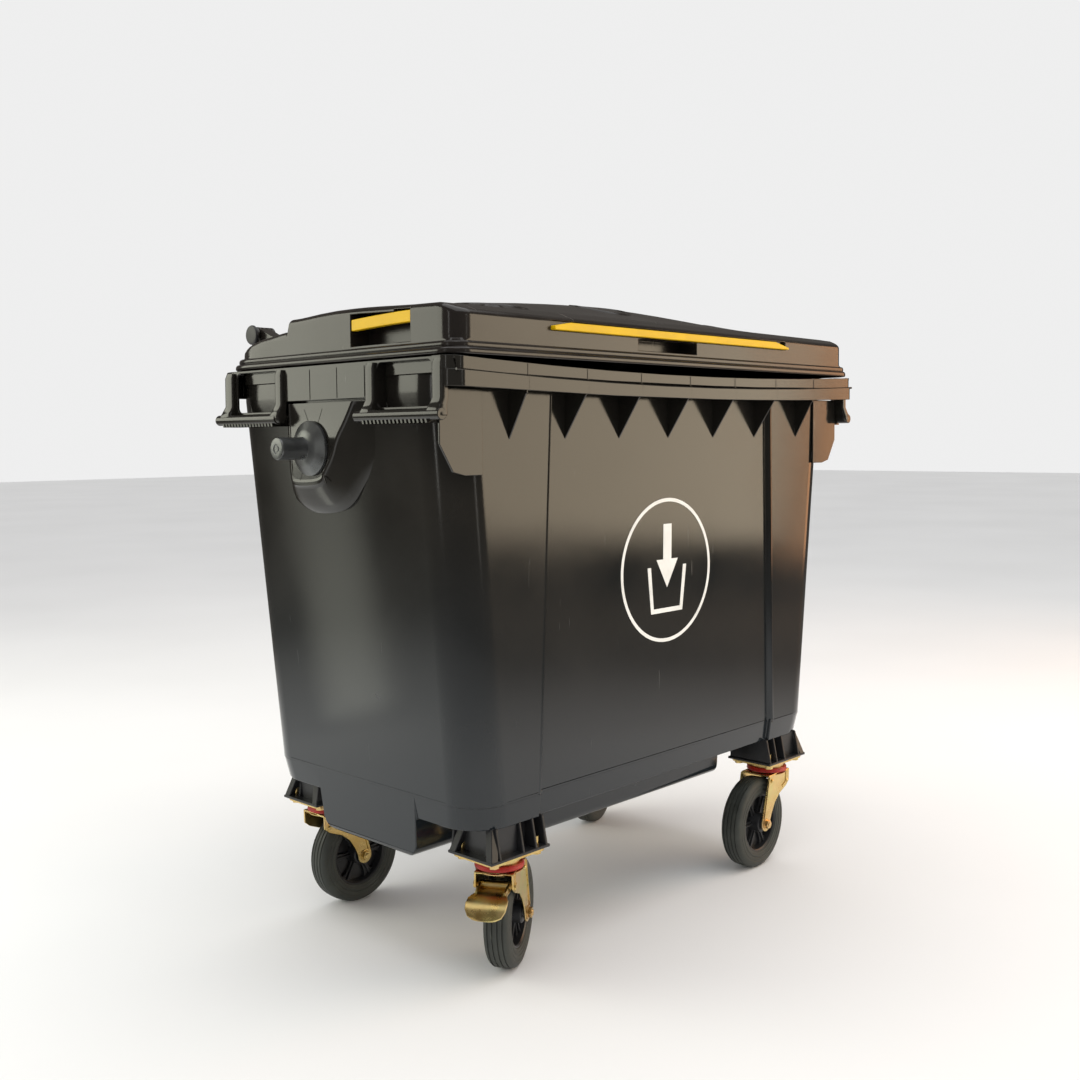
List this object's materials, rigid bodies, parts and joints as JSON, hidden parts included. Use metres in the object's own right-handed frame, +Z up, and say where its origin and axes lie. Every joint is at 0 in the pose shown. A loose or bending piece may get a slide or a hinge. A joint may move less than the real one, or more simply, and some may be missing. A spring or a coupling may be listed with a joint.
{
  "type": "four-wheeled waste container",
  "caption": "Four-wheeled domed-lid waste container with comb-lift pins, a tapered tub, grip handles, swivel castors and foot brakes.",
  "frame": {"origin": "centre of the container's footprint on the floor", "axes": "+X along the length towards the right lifting pin, +Y towards the lid hinges, +Z up"},
  "size_m": [1.372, 0.78, 1.238],
  "materials": {
    "container_moulding": "glossy injection-moulded HDPE, charcoal black",
    "lid_moulding": "glossy injection-moulded HDPE, charcoal black",
    "black_plastic": "satin black moulded plastic",
    "yellow_grip": "signal yellow moulded grip",
    "white_film": "matt white vinyl film",
    "passivated_zinc": "yellow-passivated zinc plating on pressed steel",
    "dark_metal": "dark grey coated steel",
    "red_seal": "red dust seal",
    "tyre_rubber": "grey-black solid rubber tyre",
    "brake_rubber": "black rubber brake shoe"
  },
  "bodies": {
    "container": {"tub_front": "container_moulding", "tub_rear": "container_moulding", "tub_end_left": "container_moulding", "tub_end_right": "container_moulding", "tub_floor": "container_moulding", "front_rim": "container_moulding", "front_gussets": "container_moulding", "front_ears": "container_moulding", "rear_rim": "container_moulding", "hinge_posts": "container_moulding", "king_pins": "passivated_zinc", "seal_rings": "red_seal", "end_frame_left": "container_moulding", "end_frame_right": "container_moulding", "bracket_left": "container_moulding", "bracket_right": "container_moulding", "castor_mounts": "black_plastic", "trunnion_left": "dark_metal", "trunnion_right": "dark_metal", "trunnion_nuts": "passivated_zinc", "round_sticker": "white_film", "drain_seal": "red_seal", "castor_bolts": "passivated_zinc", "plate_fl": "passivated_zinc", "plate_fr": "passivated_zinc", "plate_rl": "passivated_zinc", "plate_rr": "passivated_zinc"},
    "lid": {"lid_shell": "lid_moulding", "grip_strip_front": "yellow_grip", "grip_strip_left": "yellow_grip", "grip_strip_right": "yellow_grip", "hinge_pin_left": "black_plastic", "hinge_pin_right": "black_plastic"},
    "drain_plug": {"drain_plug": "black_plastic"},
    "fork_fl": {"fork_fl": "passivated_zinc", "axle_fl": "passivated_zinc", "bush_fl": "dark_metal", "brake_pivot_fl": "passivated_zinc"},
    "wheel_fl": {"wheel_centre_fl": "black_plastic", "tyre_fl": "tyre_rubber"},
    "pedal_fl": {"brake_pedal_fl": "passivated_zinc", "brake_shoe_fl": "brake_rubber"},
    "fork_fr": {"fork_fr": "passivated_zinc", "axle_fr": "passivated_zinc", "bush_fr": "dark_metal"},
    "wheel_fr": {"wheel_centre_fr": "black_plastic", "tyre_fr": "tyre_rubber"},
    "fork_rl": {"fork_rl": "passivated_zinc", "axle_rl": "passivated_zinc", "bush_rl": "dark_metal"},
    "wheel_rl": {"wheel_centre_rl": "black_plastic", "tyre_rl": "tyre_rubber"},
    "fork_rr": {"fork_rr": "passivated_zinc", "axle_rr": "passivated_zinc", "bush_rr": "dark_metal", "brake_pivot_rr": "passivated_zinc"},
    "wheel_rr": {"wheel_centre_rr": "black_plastic", "tyre_rr": "tyre_rubber"},
    "pedal_rr": {"brake_pedal_rr": "passivated_zinc", "brake_shoe_rr": "brake_rubber"}
  },
  "joints": [
    {"name": "lid_hinge", "type": "hinge", "parent": "container", "child": "lid", "pos_m": [0, 0.37, 1.183], "axis": [1, 0, 0], "range_deg": [-265, 0]},
    {"name": "drain_plug_pull", "type": "slide", "parent": "container", "child": "drain_plug", "axis": [0, 1, 0], "range_m": [0, 0.03]},
    {"name": "swivel_fl", "type": "hinge", "parent": "container", "child": "fork_fl", "pos_m": [-0.428, -0.283, 0.206], "axis": [0, 0, 1], "continuous": true},
    {"name": "wheel_spin_fl", "type": "hinge", "parent": "fork_fl", "child": "wheel_fl", "pos_m": [-0.37431, -0.252, 0.1], "axis": [-0.5, 0.866, 0], "continuous": true},
    {"name": "brake_fl", "type": "hinge", "parent": "fork_fl", "child": "pedal_fl", "pos_m": [-0.45138, -0.2965, 0.18], "axis": [0.5, -0.866, 0], "range_deg": [0, 11]},
    {"name": "swivel_fr", "type": "hinge", "parent": "container", "child": "fork_fr", "pos_m": [0.428, -0.283, 0.206], "axis": [0, 0, 1], "continuous": true},
    {"name": "wheel_spin_fr", "type": "hinge", "parent": "fork_fr", "child": "wheel_fr", "pos_m": [0.36608, -0.28625, 0.1], "axis": [0.0523, -0.9986, 0], "continuous": true},
    {"name": "swivel_rl", "type": "hinge", "parent": "container", "child": "fork_rl", "pos_m": [-0.428, 0.218, 0.206], "axis": [0, 0, 1], "continuous": true},
    {"name": "wheel_spin_rl", "type": "hinge", "parent": "fork_rl", "child": "wheel_rl", "pos_m": [-0.366, 0.218, 0.1], "axis": [0, 1, 0], "continuous": true},
    {"name": "swivel_rr", "type": "hinge", "parent": "container", "child": "fork_rr", "pos_m": [0.428, 0.218, 0.206], "axis": [0, 0, 1], "continuous": true},
    {"name": "wheel_spin_rr", "type": "hinge", "parent": "fork_rr", "child": "wheel_rr", "pos_m": [0.36974, 0.19679, 0.1], "axis": [0.342, -0.9397, 0], "continuous": true},
    {"name": "brake_rr", "type": "hinge", "parent": "fork_rr", "child": "pedal_rr", "pos_m": [0.45337, 0.22723, 0.18], "axis": [-0.342, 0.9397, 0], "range_deg": [0, 11]}
  ]
}
